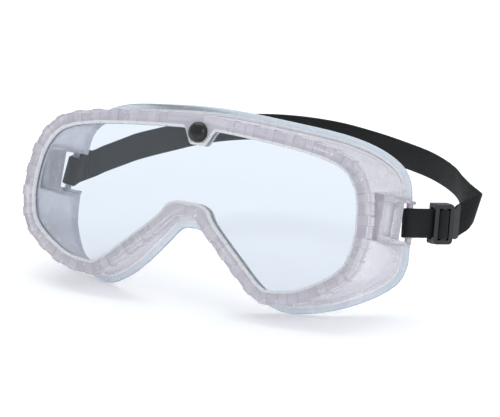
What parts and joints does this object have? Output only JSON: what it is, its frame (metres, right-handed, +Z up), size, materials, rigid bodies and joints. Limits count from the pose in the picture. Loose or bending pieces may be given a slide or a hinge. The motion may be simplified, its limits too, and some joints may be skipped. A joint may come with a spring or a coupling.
{
  "type": "safety goggles",
  "caption": "Clear one-piece safety goggles: bowed lens in a soft notched frame with a face flange, an elastic strap on side bars and a three-bar slide.",
  "frame": {"origin": "middle of the footprint of the whole object, on the surface it stands on", "axes": "+Z up, the lens faces -Y and leans back, the strap runs towards +Y, +X is the wearer's left seen from behind the lens"},
  "size_m": [0.196, 0.1678, 0.0817],
  "materials": {
    "pvc": "soft clear PVC with a faint lavender tint, satin",
    "lens": "clear polycarbonate sheet, glossy",
    "black_plastic": "moulded black plastic",
    "webbing": "woven black elastic"
  },
  "bodies": {
    "frame": {"frame_body": "pvc", "lens": "lens", "stud_retainer": "black_plastic"},
    "stud": {"lens_stud": "black_plastic"},
    "left_arm": {"strap_left_arm": "webbing"},
    "back_band": {"strap_back_band": "webbing"},
    "right_arm": {"strap_right_arm": "webbing"},
    "slide": {"tri_glide_buckle": "black_plastic"}
  },
  "joints": [
    {"name": "strap_sway", "type": "hinge", "parent": "frame", "child": "left_arm", "pos_m": [-0.09497, -0.03157, 0.03848], "axis": [0, 0.3173, 0.9483], "range_deg": [-22, 10], "stiffness_Nm_per_rad": 0.02},
    {"name": "left_flex", "type": "hinge", "parent": "left_arm", "child": "back_band", "pos_m": [-0.08957, 0.01193, 0.04068], "axis": [0, 0.3173, 0.9483], "range_deg": [-10, 22]},
    {"name": "right_flex", "type": "hinge", "parent": "back_band", "child": "right_arm", "pos_m": [0.08403, 0.01193, 0.04068], "axis": [0, 0.3173, 0.9483], "range_deg": [-22, 10]},
    {"name": "slide_travel", "type": "slide", "parent": "right_arm", "child": "slide", "axis": [0.519, 0.8445, -0.132], "range_m": [-0.003, 0.002]},
    {"name": "stud_pull", "type": "slide", "parent": "frame", "child": "stud", "axis": [0, -0.9483, 0.3173], "range_m": [0, 0.009]}
  ],
  "couplings": [
    {"joint": "left_flex", "follows": "strap_sway", "ratio": -1},
    {"joint": "right_flex", "follows": "strap_sway", "ratio": 1}
  ]
}
